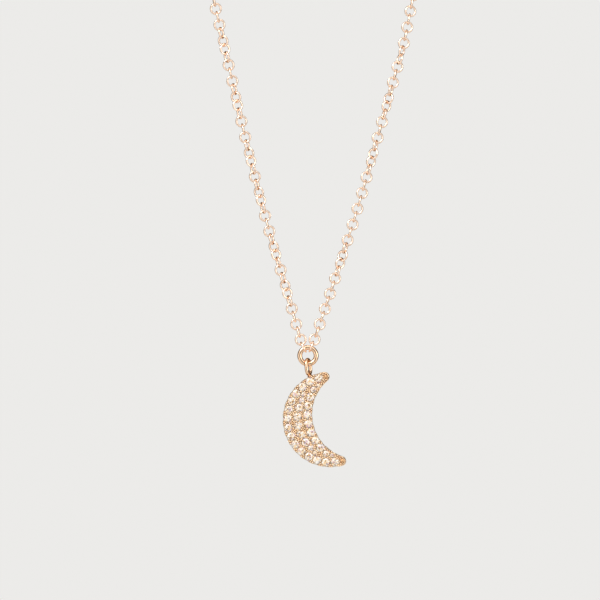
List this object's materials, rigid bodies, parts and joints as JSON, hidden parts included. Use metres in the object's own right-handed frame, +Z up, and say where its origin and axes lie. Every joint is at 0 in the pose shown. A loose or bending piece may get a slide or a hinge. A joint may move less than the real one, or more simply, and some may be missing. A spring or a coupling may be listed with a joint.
{
  "type": "pendant necklace",
  "caption": "Fine cable-link chain necklace with a spring ring clasp, a round jump ring and a crescent pendant covered in small round stones.",
  "frame": {"origin": "where the wound chain rests on top of the bar that holds it, at the middle of the hank's width", "axes": "+Z up, -Y out of the crescent's stone-set face, +X to the viewer's right when facing that side"},
  "size_m": [0.0292, 0.0082, 0.0741],
  "materials": {
    "chain_gold": "polished, pale rose gold",
    "gold": "polished, rose to yellow gold",
    "spring_steel": "bright wire",
    "clear_stone": "round brilliant cut, clear"
  },
  "bodies": {
    "hank": {"chain_hank": "chain_gold", "chain_lead_left": "chain_gold", "chain_lead_right": "chain_gold", "clasp_shell": "gold", "clasp_spring": "spring_steel", "clasp_loop": "gold", "clasp_jump_ring": "gold", "end_ring": "gold"},
    "clasp_trigger": {"clasp_bolt": "gold", "clasp_lever": "gold"},
    "chain_drop": {"chain_left": "chain_gold", "chain_right": "chain_gold", "end_link_left": "chain_gold", "end_link_right": "chain_gold"},
    "ring": {"jump_ring": "gold"},
    "pendant": {"moon_frame": "gold", "bail_loop": "gold", "stone_01": "clear_stone", "stone_02": "clear_stone", "stone_03": "clear_stone", "stone_04": "clear_stone", "stone_05": "clear_stone", "stone_06": "clear_stone", "stone_07": "clear_stone", "stone_08": "clear_stone", "stone_09": "clear_stone", "stone_10": "clear_stone", "stone_11": "clear_stone", "stone_12": "clear_stone", "stone_13": "clear_stone", "stone_14": "clear_stone", "stone_15": "clear_stone", "stone_16": "clear_stone", "stone_17": "clear_stone", "stone_18": "clear_stone", "stone_19": "clear_stone", "stone_20": "clear_stone", "stone_21": "clear_stone", "stone_22": "clear_stone", "stone_23": "clear_stone", "stone_24": "clear_stone", "stone_25": "clear_stone", "stone_26": "clear_stone", "stone_27": "clear_stone", "stone_28": "clear_stone", "stone_29": "clear_stone", "stone_30": "clear_stone", "stone_31": "clear_stone", "stone_32": "clear_stone", "stone_33": "clear_stone", "stone_34": "clear_stone", "stone_35": "clear_stone"}
  },
  "joints": [
    {"name": "chain_swing", "type": "hinge", "parent": "hank", "child": "chain_drop", "pos_m": [0.00057, 0, -0.01063], "axis": [0.971, 0.2391, -0.001], "range_deg": [-25, 25]},
    {"name": "ring_swing", "type": "hinge", "parent": "chain_drop", "child": "ring", "pos_m": [0, 0, -0.05651], "axis": [1, 0, 0], "range_deg": [-40, 40]},
    {"name": "pendant_swing", "type": "hinge", "parent": "ring", "child": "pendant", "pos_m": [-0.00005, 0, -0.05785], "axis": [0, 1, 0], "range_deg": [-20, 20]},
    {"name": "clasp_lever", "type": "hinge", "parent": "hank", "child": "clasp_trigger", "pos_m": [0.0013, 0, 0.00235], "axis": [0, 0, 1], "range_deg": [0, 58], "stiffness_Nm_per_rad": 0.0015, "springref_deg": -17.19, "deforming": ["clasp_spring"]}
  ]
}
